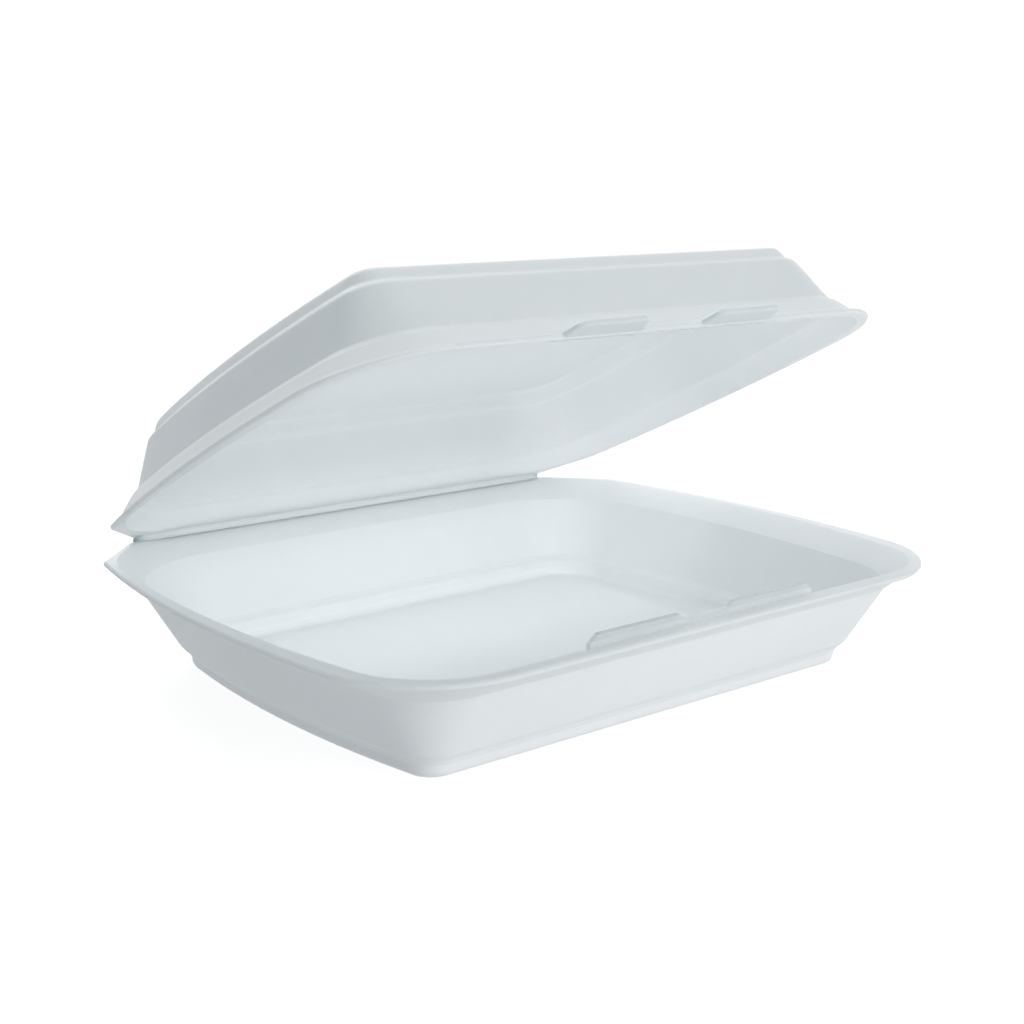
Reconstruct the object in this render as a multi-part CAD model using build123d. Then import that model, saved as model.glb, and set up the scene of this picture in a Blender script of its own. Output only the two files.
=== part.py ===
from build123d import *

import os
from math import cos, radians, sin, sqrt, tan

# Foam clamshell container: a bowed tray and a domed lid moulded from one foam sheet, with a pressed hinge.
# Millimetres, +Z up. The origin is the middle of the tray's foot. The hinge runs along X at the back (+Y)
# and the closing tongues are at the front (-Y). The tray and the lid are one moulding, split here along
# its pressed crease, and the lid stands open.

# Foam sheet
sheet = 2.3  # thickness of walls, floor and top
rim_thickness = 1.8  # pressed flat rim
cut_bevel = 0.5  # eased edges of the cut rim
mould_round = 2.4  # edges of the foot and the top panel
ledge_round = 2.0  # edges of the ledges in the lid's walls
foot_ledge_round = 4.0  # edges of the ledge above the foot
round_step = 30.0  # degrees of a rounded edge that one band takes

# Tray rim, seen from above
rim_half_width = 120.0  # middle to the widest place of a bowed side
rim_side_radius = 405.0  # radius of a bowed side
rim_widest = -14.0  # place of the widest section along Y
rim_front = 99.4  # middle to the front edge
rim_corner = 38.0  # front corners
ear_depth = 21.2  # crease to the tips of the rear ears
ear_round = 0.8

# Tray section, from the rim down to the foot
rim_height = 36.6  # foot to the top of the rim
rim_width = 3.0  # underside of the rim, edge to shoulder
shoulder_slope = 38.6  # degrees from level
shoulder_depth = 14.0  # how far the shoulder's slope is carried down into the walls
shoulder_square = 4.3  # the shoulder's front corners are this much tighter than the rim's
wall_inset = 7.0  # rim edge to the line of the wall, at the rim's underside
wall_slope = 59.0  # degrees from level
wall_corner = 27.5  # corners of the walls at the rim's underside
wall_middle = -2.3  # widest section of the walls along Y
wall_overrun = 3.2  # the walls' outline is carried this far behind the crease before its inset
ledge_run = 2.6  # ledge between the foot and the wall
ledge_rise = 2.0
foot_height = 5.5
foot_slope = 75.0  # degrees from level
foot_corner = 7.0

# Lid rim, seen from above
lid_side_margin = 6.7  # tray rim beyond the lid's rim
lid_front_margin = 5.6
lid_side_radius = 488.0
lid_widest = -10.8
lid_corner = 34.8
lid_ear_depth = 20.2
lid_ear_round = 2.5

# Lid section, from the rim up to the top panel
lid_rim_width = 2.0
lid_shoulder_rise = 6.4
lid_shoulder_slope = 48.0  # degrees from level
lid_ledge_run = 2.0
lid_ledge_rise = 0.9
lid_wall_rise = 16.8
lid_wall_slope = 64.0  # degrees from level
panel_ledge_run = 2.4
panel_ledge_rise = 1.6
panel_rise = 4.7
panel_slope = 60.0  # degrees from level
panel_corner = 5.7
lid_middle = 1.5
lid_overrun = 1.8  # the same for the lid

# Pressed hinge
hinge_back = 92.2  # middle to the crease
hinge_margin = 30.3  # tray's widest place to the end of the crease
hinge_taper = 3.8  # strip beside the crease over which the rim thins
hinge_film = 0.8  # foam left at the crease
rear_ease = 11.0  # rear corners are this much wider than the front ones, to stay inside the ears' cut
crease_gap = 0.2  # between the halves' edges along the crease
rest_gap = 0.3  # between the closed rims
open_angle = 26.0  # lid as it stands, from closed

# Closing tongues and the ridge between them on the tray, and the slots and pull tabs on the lid
lock_spacing = 54.0  # middle of one tongue to middle of the other
tongue_root = 38.0  # width at the rim
tongue_top = 31.5
tongue_height = 2.4
tongue_thickness = 1.6
tongue_inset = 7.4  # tray's front edge to the front of a tongue
tongue_round = 1.5
ridge_height = 0.7
slot_clearance = 0.4
tab_reach = 6.8  # lid's front edge to the tip of a tab
tab_root = 31.0
tab_tip = 26.0
tab_round = 3.0
tab_lift = 7.0  # degrees up from the rim

# Levels and places that follow
rim_under = rim_height - rim_thickness
above_rim = rim_height + rim_thickness
lid_rim = rim_height + rest_gap
lid_rim_top = lid_rim + rim_thickness
hinge_press = rim_thickness - hinge_film
hinge_height = rim_height - hinge_press + rest_gap / 2
hinge_half_length = rim_half_width - hinge_margin
crease_edge = hinge_back - crease_gap / 2
lid_half_width = rim_half_width - lid_side_margin
lid_front = rim_front - lid_front_margin
locks = (-lock_spacing / 2, lock_spacing / 2)


def run(rise, slope):
    """Level distance that a slope takes to rise."""
    return rise / tan(radians(slope))


def side_at(half_width, radius, middle, y):
    """Distance of a bowed side from the middle plane at a place along Y."""
    return half_width - radius + sqrt(radius**2 - (y - middle) ** 2)


def bowed_outline(half_width, radius, middle, front, back, corner):
    """Outline with straight front and back, bowed sides and four rounded corners, the rear ones wider."""
    x_front = side_at(half_width, radius, middle, -front)
    x_back = side_at(half_width, radius, middle, back)
    with BuildSketch() as sketch:
        with BuildLine():
            Line((-x_front, -front), (x_front, -front))
            ThreePointArc((x_front, -front), (half_width, middle), (x_back, back))
            Line((x_back, back), (-x_back, back))
            ThreePointArc((-x_back, back), (-half_width, middle), (-x_front, -front))
        make_face()
        fillet(sketch.vertices().group_by(Axis.Y)[0], corner)
        fillet(sketch.vertices().group_by(Axis.Y)[-1], corner + rear_ease)
    return sketch.sketch


def tray_ring(inset, height, corner):
    """Outline of the tray's walls at a height, inset from the rim."""
    outline = bowed_outline(
        rim_half_width - inset,
        rim_side_radius - inset,
        wall_middle,
        rim_front - inset,
        hinge_back + wall_overrun - inset,
        corner,
    )
    return Pos(0, 0, height) * outline


def lid_ring(inset, height, corner):
    """Outline of the closed lid's walls at a height, inset from its rim."""
    outline = bowed_outline(
        lid_half_width - inset,
        lid_side_radius - inset,
        lid_middle,
        lid_front - inset,
        hinge_back + lid_overrun - inset,
        corner,
    )
    return Pos(0, 0, height) * outline


def inner_section(section):
    """Inside of a section of (inset, height) points, one sheet away from it; its end points only guide it."""
    inside = []
    for before, here, after in zip(section, section[1:], section[2:]):
        first = (Vector(*here) - Vector(*before)).normalized()
        second = (Vector(*after) - Vector(*here)).normalized()
        across = first.cross(Vector(0, 0, 1)) + second.cross(Vector(0, 0, 1))
        shift = across * (sheet / (1 + first.dot(second)))
        inside.append((here[0] + shift.X, here[1] + shift.Y))
    return inside


def rounded(section, *radii):
    """Section with a radius at each corner between its ends, as points along each arc."""
    points = [section[0]]
    for before, here, after, radius in zip(section, section[1:], section[2:], radii):
        corner = Vector(*here)
        into = (corner - Vector(*before)).normalized()
        onward = (Vector(*after) - corner).normalized()
        turn = into.get_angle(onward)
        side = 1 if into.cross(onward).Z > 0 else -1
        centre = corner + (onward - into).normalized() * (radius / cos(radians(turn / 2)))
        spoke = corner - into * (radius * tan(radians(turn / 2))) - centre
        steps = max(1, round(turn / round_step))
        for step in range(steps + 1):
            point = centre + spoke.rotate(Axis.Z, side * turn * step / steps)
            points.append((point.X, point.Y))
    return points + [section[-1]]


def rim_outline(half_width, radius, widest, front, ear, corner, tip_round):
    """Cut outline of a rim, with rounded front corners, and ears cut back to the ends of the crease."""
    x_front = side_at(half_width, radius, widest, -front)
    x_ear = side_at(half_width, radius, widest, ear)
    with BuildSketch() as sketch:
        with BuildLine():
            Line((-x_front, -front), (x_front, -front))
            ThreePointArc((x_front, -front), (half_width, widest), (x_ear, ear))
            Line((x_ear, ear), (hinge_half_length, crease_edge))
            Line((hinge_half_length, crease_edge), (-hinge_half_length, crease_edge))
            Line((-hinge_half_length, crease_edge), (-x_ear, ear))
            ThreePointArc((-x_ear, ear), (-half_width, widest), (-x_front, -front))
        make_face()
        fillet(sketch.vertices().group_by(Axis.Y)[0], corner)
        fillet(sketch.vertices().filter_by_position(Axis.Y, ear - tip_round, ear + tip_round), tip_round)
    return sketch.sketch


def rim_plate(outline, level):
    """Flat rim over an outline, with eased edges all round but at the crease."""
    plate = extrude(Pos(0, 0, level) * outline, rim_thickness)
    edges = plate.edges().filter_by(Plane.XY)
    return chamfer(edges.filter_by_position(Axis.Y, -rim_front, crease_edge - cut_bevel), cut_bevel)


def crease_bar(half_length, *points):
    """Bar along the hinge with a section given by points in Y and Z."""
    face = make_face(Plane.YZ * Polyline(*points, close=True))
    return extrude(face, half_length, both=True)


def tongue(middle, grow, depth):
    """Upright tongue rooted a depth below the top of the tray's rim, grown where it shapes its slot."""
    half_root = tongue_root / 2 + grow
    half_top = tongue_top / 2 + grow
    top = tongue_height + grow
    back = tongue_inset + tongue_thickness + grow - rim_front
    upright = Plane(origin=(middle, back, rim_height), x_dir=(1, 0, 0), z_dir=(0, -1, 0))
    with BuildSketch(upright) as sketch:
        with BuildLine():
            Polyline(
                (-half_root, -depth),
                (half_root, -depth),
                (half_root, 0),
                (half_top, top),
                (-half_top, top),
                (-half_root, 0),
                close=True,
            )
        make_face()
    return extrude(sketch.sketch, tongue_thickness + 2 * grow)


def ridge(grow, depth):
    """Low ridge from one tongue to the other, grown where it shapes its groove."""
    front = tongue_inset - grow - rim_front
    width = tongue_thickness + 2 * grow
    height = ridge_height + grow + depth
    corner = Pos(0, front + width / 2, rim_height + ridge_height + grow)
    return corner * Box(lock_spacing, width, height, align=(Align.CENTER, Align.CENTER, Align.MAX))


def tab(middle):
    """Pull tab in front of a slot, rooted in the lid's rim and lifted at its tip."""
    root = lid_front - 2 * cut_bevel
    tip = lid_front + tab_reach
    with BuildSketch() as sketch:
        with BuildLine():
            Polyline(
                (middle - tab_root / 2, -root),
                (middle - tab_tip / 2, -tip),
                (middle + tab_tip / 2, -tip),
                (middle + tab_root / 2, -root),
                close=True,
            )
        make_face()
        fillet(sketch.vertices().group_by(Axis.Y)[0], tab_round)
    plate = extrude(Pos(0, 0, lid_rim) * sketch.sketch, rim_thickness)
    edges = plate.edges().filter_by(Plane.XY)
    plate = chamfer(edges.filter_by_position(Axis.Y, -tip, -root - cut_bevel), cut_bevel)
    return plate.rotate(Axis((0, -root, lid_rim), (1, 0, 0)), -tab_lift)


def make_tray():
    """Tray: walls and foot, flared shoulder, flat rim and tongues, hollowed one sheet thick."""
    ledge_inset = wall_inset + run(rim_under - foot_height - ledge_rise, wall_slope) + ledge_run
    foot_inset = ledge_inset + run(foot_height, foot_slope)
    walls = [
        (rim_half_width, 0),
        (foot_inset, 0),
        (ledge_inset, foot_height),
        (ledge_inset - ledge_run, foot_height + ledge_rise),
        (wall_inset, rim_under),
    ]
    carried = (wall_inset - run(above_rim - rim_under, wall_slope), above_rim)
    beyond = (wall_inset - run(2 * above_rim - rim_under, wall_slope), 2 * above_rim)
    inner = inner_section(walls[:-1] + [carried, beyond])
    floor = [(rim_half_width, sheet)]
    radii = (mould_round, foot_ledge_round, foot_ledge_round)
    shoulder_run = run(shoulder_depth, shoulder_slope)
    across = sheet / sin(radians(shoulder_slope))
    shoulder = [(rim_width + shoulder_run, rim_under - shoulder_depth), (rim_width, rim_under)]
    mouth_edge = rim_width + across - run(rim_thickness, shoulder_slope)
    mouth = [
        (rim_width + shoulder_run + across, rim_under - shoulder_depth),
        (mouth_edge - run(rim_thickness, shoulder_slope), above_rim),
    ]

    def dish(section, tighter):
        growth = (wall_corner - foot_corner) / rim_under
        rings = [tray_ring(i, h, foot_corner - tighter + growth * h) for i, h in section]
        return loft(rings, ruled=True)

    def flare(section):
        return loft([tray_ring(i, h, rim_corner - shoulder_square - i) for i, h in section], ruled=True)

    outline = rim_outline(
        rim_half_width, rim_side_radius, rim_widest, rim_front, hinge_back - ear_depth, rim_corner, ear_round
    )
    thinning = crease_bar(
        rim_half_width,
        (hinge_back - hinge_taper, rim_height),
        (hinge_back, rim_height - hinge_press),
        (hinge_back, above_rim),
        (hinge_back - hinge_taper, above_rim),
    )
    shell = dish(rounded(walls, *radii)[1:], 0) + flare(shoulder)
    solid = (shell & extrude(outline, rim_under)) + rim_plate(outline, rim_under)
    solid = solid - dish(rounded(floor + inner, *radii)[1:], sheet) - flare(mouth) - thinning
    tongue_foot = (tongue_inset + tongue_thickness - mouth_edge) * tan(radians(shoulder_slope)) + sheet / 2
    for middle in locks:
        piece = tongue(middle, 0, tongue_foot)
        solid += fillet(piece.edges().filter_by(Axis.Y).group_by(Axis.Z)[-1], tongue_round)
    return solid + ridge(0, tongue_foot)


def make_lid():
    """Closed lid: rim, shoulder, walls and raised top panel, one sheet thick, with tabs and slots."""
    section = [(lid_rim_width, lid_rim_top)]
    for level_run, rise in (
        (run(lid_shoulder_rise, lid_shoulder_slope), lid_shoulder_rise),
        (lid_ledge_run, lid_ledge_rise),
        (run(lid_wall_rise, lid_wall_slope), lid_wall_rise),
        (panel_ledge_run, panel_ledge_rise),
        (run(panel_rise, panel_slope), panel_rise),
    ):
        inset, height = section[-1]
        section.append((inset + level_run, height + rise))
    panel_inset, top = section[-1]
    below = lid_rim - rim_thickness
    start = (lid_rim_width - run(lid_rim_top - below, lid_shoulder_slope), below)
    guide = (start[0] - run(rim_thickness, lid_shoulder_slope), below - rim_thickness)
    inner = inner_section([guide, start] + section[1:] + [(lid_half_width, top)])
    radii = (ledge_round, ledge_round, ledge_round, ledge_round, mould_round)

    def dome(section):
        tightening = (lid_corner - panel_corner) / panel_inset
        return loft([lid_ring(i, h, lid_corner - tightening * i) for i, h in section], ruled=True)

    outline = rim_outline(
        lid_half_width,
        lid_side_radius,
        lid_widest,
        lid_front,
        hinge_back - lid_ear_depth,
        lid_corner,
        lid_ear_round,
    )
    film_low = lid_rim - hinge_press
    film_high = film_low + hinge_film
    pressed_top = film_high + hinge_taper
    shoulder_back = hinge_back + lid_overrun - lid_rim_width
    pressed_back = shoulder_back - run(pressed_top - lid_rim_top, lid_shoulder_slope)
    thinning = crease_bar(
        lid_half_width,
        (hinge_back, film_high),
        (hinge_back, pressed_top),
        (pressed_back, pressed_top),
    )
    lip = crease_bar(
        hinge_half_length,
        (hinge_back - hinge_taper, lid_rim),
        (crease_edge, film_low),
        (crease_edge, lid_rim_top),
        (hinge_back - hinge_taper, lid_rim_top),
    )
    outside = dome(rounded(section + [(lid_half_width, top)], *radii)[:-1])
    inside = dome(rounded(inner + [(lid_half_width, top - sheet)], *radii)[:-1])
    within = extrude(Pos(0, 0, lid_rim) * outline, top)
    solid = rim_plate(outline, lid_rim) + lip + (outside & within) - thinning
    for middle in locks:
        solid += tab(middle)
    solid -= inside
    for middle in locks:
        slot = tongue(middle, slot_clearance, tongue_height)
        solid -= slot + extrude(slot.faces().sort_by(Axis.Z)[-1], lid_shoulder_rise)
    return solid - ridge(slot_clearance, tongue_height)


os.makedirs("parts", exist_ok=True)
hinge = Axis((0, hinge_back, hinge_height), (-1, 0, 0))
export_step(make_tray(), "parts/tray.step")
export_step(make_lid().rotate(hinge, open_angle), "parts/lid.step")
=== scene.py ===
from math import cos, radians, sin

import bpy
from mathutils import Matrix, Vector


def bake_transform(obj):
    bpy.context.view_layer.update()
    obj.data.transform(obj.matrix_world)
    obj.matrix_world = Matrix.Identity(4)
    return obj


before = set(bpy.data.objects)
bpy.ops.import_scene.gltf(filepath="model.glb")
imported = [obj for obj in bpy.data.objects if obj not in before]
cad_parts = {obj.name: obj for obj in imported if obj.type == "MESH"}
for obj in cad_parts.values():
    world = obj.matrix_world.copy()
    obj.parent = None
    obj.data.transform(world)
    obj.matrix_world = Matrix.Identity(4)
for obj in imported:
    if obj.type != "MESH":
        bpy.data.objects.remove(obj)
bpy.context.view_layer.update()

MM = 0.001

# Camera, at the photograph's viewing angle
IMAGE_SIDE = 1024
FOCAL_PIXELS = 1609.3
SENSOR = 36.0
CAMERA_AZIMUTH = -39.59
CAMERA_ELEVATION = 12.87
CAMERA_ROLL = 0.5
CAMERA_DISTANCE = 0.53416
CAMERA_TARGET = Vector((0.00116, -0.00091, 0.0506))

# Hinge and lid, in metres and degrees
HINGE_Y = 0.0922
HINGE_Z = 0.03575
OPEN_ANGLE = 26.0
LID_REACH = 0.1857  # hinge to the front edge of the lid's rim

# Strips over the crease
FILM_HALF_LENGTH = 0.0897
FILLET_HALF_LENGTH = 0.0893
FILLET_STEPS = 12
STRIP_STEPS = 60

# Foam
CELL_SCALE = 1500
MOTTLE_SCALE = 70
SWELL_SCALE = 45
FOAM_DARK = (0.89, 0.916, 0.932, 1)
FOAM_LIGHT = (0.925, 0.946, 0.957, 1)
# painted shade: grey mixed into the foam's colour to darken the tray's tongues and the lid's tabs
PAINTED_SHADE_COLOUR = (0.46, 0.5, 0.52, 1)
TONGUE_FOOT = 0.0368  # heights of the tray's tongues
TONGUE_CREST = 0.0386
TONGUE_SHADE_SHARE = 0.33  # shares of the painted shade colour
TAB_SHADE_SHARE = 0.47
CREST_SHADE_SHARE = 0.4
NOWHERE = 1  # a level beyond all of the foam
LIGHT_UNDER_SKIN = 0.9

# Stage
FLOOR_SIZE = 8
FLOOR_GLOW = 0.85
BACKDROP_PLACE = (2.4, 2.9, 3.9)
BACKDROP_GLOW = 1.1
SKY_COLOUR = (0.87, 0.96, 1, 1)
SKY_STRENGTH = 0.36


def make_camera():
    az, el, roll = (radians(a) for a in (CAMERA_AZIMUTH, CAMERA_ELEVATION, CAMERA_ROLL))
    back = Vector((sin(az) * cos(el), -cos(az) * cos(el), sin(el)))
    level = Vector((cos(az), sin(az), 0))
    upright = back.cross(level)
    right = level * cos(roll) + upright * sin(roll)
    up = upright * cos(roll) - level * sin(roll)
    data = bpy.data.cameras.new("camera")
    data.sensor_width = SENSOR
    data.lens = FOCAL_PIXELS / IMAGE_SIDE * SENSOR
    data.clip_start = 0.01
    camera = bpy.data.objects.new("camera", data)
    axes = Matrix((right, up, back)).transposed()
    camera.matrix_world = Matrix.Translation(CAMERA_TARGET + back * CAMERA_DISTANCE) @ axes.to_4x4()
    bpy.context.scene.collection.objects.link(camera)
    bpy.context.scene.camera = camera


def add_node(tree, kind, values):
    """New shader node with some of its sockets set."""
    node = tree.nodes.new(f"ShaderNode{kind}")
    for socket, value in values.items():
        node.inputs[socket].default_value = value
    return node


def painted_shade_share(tree, place, painted_shade):
    """How much painted shade shows: a share beyond a level along a direction, more beyond a second."""
    direction, level, share, crest_level = painted_shade
    beyond = add_node(tree, "VectorMath", {1: direction})
    beyond.operation = "DOT_PRODUCT"
    tree.links.new(place, beyond.inputs[0])
    # painted shade: grey beyond the level, and more beyond the crest level
    shaded_beyond = add_node(tree, "MapRange", {"From Min": level, "From Max": level + 0.8 * MM, "To Max": share})
    crest = add_node(
        tree, "MapRange", {"From Min": crest_level, "From Max": crest_level + 0.3 * MM, "To Max": CREST_SHADE_SHARE}
    )
    both = add_node(tree, "Math", {})
    for socket, step in zip(both.inputs, (shaded_beyond, crest)):
        tree.links.new(beyond.outputs["Value"], step.inputs["Value"])
        tree.links.new(step.outputs["Result"], socket)
    return both.outputs["Value"]


def foam_colour(tree, cells, mottle, share):
    """White that varies with the mottling and the cells, with painted shade mixed in as grey where the share says."""
    grain = add_node(tree, "Math", {1: 0.35})
    grain.operation = "MULTIPLY"
    tone = add_node(tree, "Math", {1: 0.7})
    tone.operation = "MULTIPLY_ADD"
    tree.links.new(cells.outputs["Distance"], grain.inputs[0])
    tree.links.new(mottle.outputs["Fac"], tone.inputs[0])
    tree.links.new(grain.outputs["Value"], tone.inputs[2])
    whites = add_node(tree, "ValToRGB", {})
    for stop, position, colour in zip(whites.color_ramp.elements, (0.2, 0.85), (FOAM_DARK, FOAM_LIGHT)):
        stop.position = position
        stop.color = colour
    tree.links.new(tone.outputs["Value"], whites.inputs["Fac"])
    # painted shade: grey mixed over the foam's white
    mixed = add_node(tree, "Mix", {})
    mixed.data_type = "RGBA"
    mixed.inputs["B"].default_value = PAINTED_SHADE_COLOUR
    tree.links.new(share, mixed.inputs["Factor"])
    tree.links.new(whites.outputs["Color"], mixed.inputs["A"])
    return mixed.outputs["Result"]


def foam_relief(tree, cells, swell):
    """Fine cells over a faint swell of the sheet."""
    wave = add_node(tree, "Bump", {"Strength": 0.25, "Distance": 0.6 * MM})
    skin = add_node(tree, "Bump", {"Strength": 0.1, "Distance": 0.2 * MM})
    tree.links.new(swell.outputs["Fac"], wave.inputs["Height"])
    tree.links.new(cells.outputs["Distance"], skin.inputs["Height"])
    tree.links.new(wave.outputs["Normal"], skin.inputs["Normal"])
    return skin.outputs["Normal"]


def foam_material(name, painted_shade, under_skin=LIGHT_UNDER_SKIN):
    """White foam sheet: a soft sheen, light carried under its skin, fine closed cells, faint broad mottling and
    painted shade beyond a given level.
    """
    material = bpy.data.materials.new(name)
    material.use_nodes = True
    tree = material.node_tree
    shader = tree.nodes["Principled BSDF"]
    place = tree.nodes.new("ShaderNodeTexCoord").outputs["Object"]
    cells = add_node(tree, "TexVoronoi", {"Scale": CELL_SCALE})
    mottle = add_node(tree, "TexNoise", {"Scale": MOTTLE_SCALE, "Detail": 5})
    swell = add_node(tree, "TexNoise", {"Scale": SWELL_SCALE, "Detail": 2})
    for texture in (cells, mottle, swell):
        tree.links.new(place, texture.inputs["Vector"])

    # painted shade: its share of grey in the base colour
    share = painted_shade_share(tree, place, painted_shade)
    tree.links.new(foam_colour(tree, cells, mottle, share), shader.inputs["Base Color"])
    tree.links.new(foam_relief(tree, cells, swell), shader.inputs["Normal"])
    gloss = add_node(tree, "MapRange", {"To Min": 0.4, "To Max": 0.56})
    tree.links.new(mottle.outputs["Fac"], gloss.inputs["Value"])
    tree.links.new(gloss.outputs["Result"], shader.inputs["Roughness"])
    shader.inputs["Specular IOR Level"].default_value = 0.3
    shader.inputs["Subsurface Weight"].default_value = under_skin
    shader.inputs["Subsurface Radius"].default_value = (1.0, 1.0, 1.0)
    shader.inputs["Subsurface Scale"].default_value = 5 * MM
    return material


def plain_material(name, grey, glow):
    material = bpy.data.materials.new(name)
    material.use_nodes = True
    shader = material.node_tree.nodes["Principled BSDF"]
    shader.inputs["Base Color"].default_value = (grey, grey, grey, 1)
    shader.inputs["Roughness"].default_value = 0.9
    shader.inputs["Specular IOR Level"].default_value = 0.1
    shader.inputs["Emission Color"].default_value = (1, 1, 1, 1)
    shader.inputs["Emission Strength"].default_value = glow
    return material


def make_stage():
    """Pale floor and a white backdrop behind it, which don't tint the light on the object."""
    bpy.ops.mesh.primitive_plane_add(size=FLOOR_SIZE)
    floor = bpy.context.object
    floor.name = "floor"
    floor.data.materials.append(plain_material("floor", 0.3, FLOOR_GLOW))
    facing = (radians(90), 0, radians(-39.6))
    bpy.ops.mesh.primitive_plane_add(size=FLOOR_SIZE, location=BACKDROP_PLACE, rotation=facing)
    backdrop = bpy.context.object
    backdrop.name = "backdrop"
    backdrop.data.materials.append(plain_material("backdrop", 0.8, BACKDROP_GLOW))
    for piece in (floor, backdrop):
        piece.visible_diffuse = False
        piece.visible_shadow = False


def beside(y, z):
    """A place on the tray's side of the crease, in millimetres from the hinge."""
    return HINGE_Y + y * MM, HINGE_Z + z * MM


def turned(y, z):
    """A place on the lid's side, in millimetres from the hinge as if closed, turned up to the lid's open angle."""
    a = radians(OPEN_ANGLE)
    return beside(y * cos(a) + z * sin(a), z * cos(a) - y * sin(a))


def make_strip(name, section, half_length, material):
    """Sweep a section, a ring of (y, z) places, along the hinge and bend it between the tray and the lid."""
    count = len(section)
    points = []
    faces = []
    for step in range(STRIP_STEPS + 1):
        x = half_length * (2 * step / STRIP_STEPS - 1)
        points += [(x, y, z) for y, z in section]
    for step in range(STRIP_STEPS):
        for side in range(count):
            a, b = step * count + side, step * count + (side + 1) % count
            faces.append((a, a + count, b + count, b))
    faces.append(tuple(range(count)))
    faces.append(tuple(range(STRIP_STEPS * count, (STRIP_STEPS + 1) * count))[::-1])
    mesh = bpy.data.meshes.new(name)
    mesh.from_pydata(points, [], faces)
    mesh.validate()
    strip = bpy.data.objects.new(name, mesh)
    bpy.context.scene.collection.objects.link(strip)
    for face in mesh.polygons:
        face.use_smooth = len(face.vertices) == 4
    mesh.materials.append(material)
    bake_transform(strip)


def make_film(material):
    """Thin strip of the sheet that is left at the crease and joins the tray's rim to the lid's."""
    section = [
        beside(-0.7, -0.05),
        beside(-0.1, -0.15),
        beside(0.02, 0.02),
        turned(-0.1, 0.15),
        turned(-0.7, 0.35),
        turned(-0.7, 0.85),
        turned(-0.1, 0.95),
        turned(0.4, 0.65),
        beside(0.8, 0.05),
        beside(0.5, -0.65),
        beside(-0.1, -0.95),
        beside(-0.7, -0.85),
    ]
    make_strip("hinge_film", section, FILM_HALF_LENGTH, material)


def make_fillet(material):
    """Soft inner bend of the sheet over the crease, from the tray's rim to the lid's."""
    low, corner, high = beside(-4.1, 0.86), beside(-1.5, 1.05), turned(-4.1, 1.14)
    section = []
    for step in range(FILLET_STEPS + 1):
        t = step / FILLET_STEPS
        shares = (1 - t) ** 2, 2 * t * (1 - t), t * t
        section.append(tuple(sum(s * v for s, v in zip(shares, values)) for values in zip(low, corner, high)))
    section += [turned(-3.8, 1.35), turned(-0.2, 0.35), beside(-0.05, 0), beside(-0.2, -0.3), beside(-3.8, 0.65)]
    make_strip("hinge_fillet", section, FILLET_HALF_LENGTH, material)


def make_foam():
    """Dress the tray, the lid and the strips between them."""
    up = Vector((0, 0, 1))
    tilt = radians(OPEN_ANGLE)
    forward = Vector((0, -cos(tilt), sin(tilt)))  # from the hinge along the open lid
    tab_level = forward.dot(Vector((0, HINGE_Y, HINGE_Z))) + LID_REACH
    foams = {
        # painted shade on the tray's tongues above the rim and on the lid's tabs beyond its front edge
        "tray": foam_material("foam_tray", (up, TONGUE_FOOT, TONGUE_SHADE_SHARE, TONGUE_CREST)),
        "lid": foam_material("foam_lid", (forward, tab_level, TAB_SHADE_SHARE, NOWHERE)),
    }
    for name, foam in foams.items():
        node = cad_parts[name]
        node.data.materials.clear()
        node.data.materials.append(foam)
    hinge_foam = foam_material("foam_hinge", (up, NOWHERE, 0, NOWHERE), under_skin=0)
    make_film(hinge_foam)
    make_fillet(hinge_foam)


def area_light(name, place, aim, size, power, colour=(1, 1, 1), sheen=True):
    data = bpy.data.lights.new(name, "AREA")
    data.shape = "RECTANGLE"
    data.size, data.size_y = size
    data.energy = power
    data.color = colour
    light = bpy.data.objects.new(name, data)
    light.location = place
    light.rotation_euler = (Vector(aim) - Vector(place)).to_track_quat("-Z", "Y").to_euler()
    light.visible_camera = False
    light.visible_glossy = sheen
    bpy.context.scene.collection.objects.link(light)


def make_lights():
    """Soft light from the front, light through the sheet from behind and below, and a weak fill in the mouth.

    The two mouth lights stay inside the box when it is closed.
    """
    world = bpy.data.worlds.new("studio")
    world.use_nodes = True
    sky = world.node_tree.nodes["Background"]
    sky.inputs["Color"].default_value = SKY_COLOUR
    sky.inputs["Strength"].default_value = SKY_STRENGTH
    bpy.context.scene.world = world
    area_light("key", (0.05, -1.33, 0.73), (0, 0, 0.06), (1.0, 0.25), 7, (0.97, 1, 1))
    area_light("bounce", (0.1, -0.5, -0.28), (0.02, -0.06, 0.03), (1.1, 0.5), 1.45)
    area_light("back", (0.25, 1.2, 1.1), (0, 0.05, 0.08), (1.0, 1.0), 11)
    area_light("side", (1.4, 0.75, 0.3), (0, 0, 0.06), (1.0, 0.6), 12, sheen=False)
    area_light("table", (0, -0.002, -0.001), (0, -0.002, 0), (0.164, 0.124), 0.03)
    area_light("mouth_low", (0, 0.005, 0.05), (0, 0.07, 0.034), (0.17, 0.03), 0.012)
    area_light("mouth_high", (0, -0.035, 0.045), (0, -0.035, 0.12), (0.14, 0.05), 0.01)


bpy.context.scene.view_settings.view_transform = "Standard"
make_camera()
make_foam()
make_stage()
make_lights()
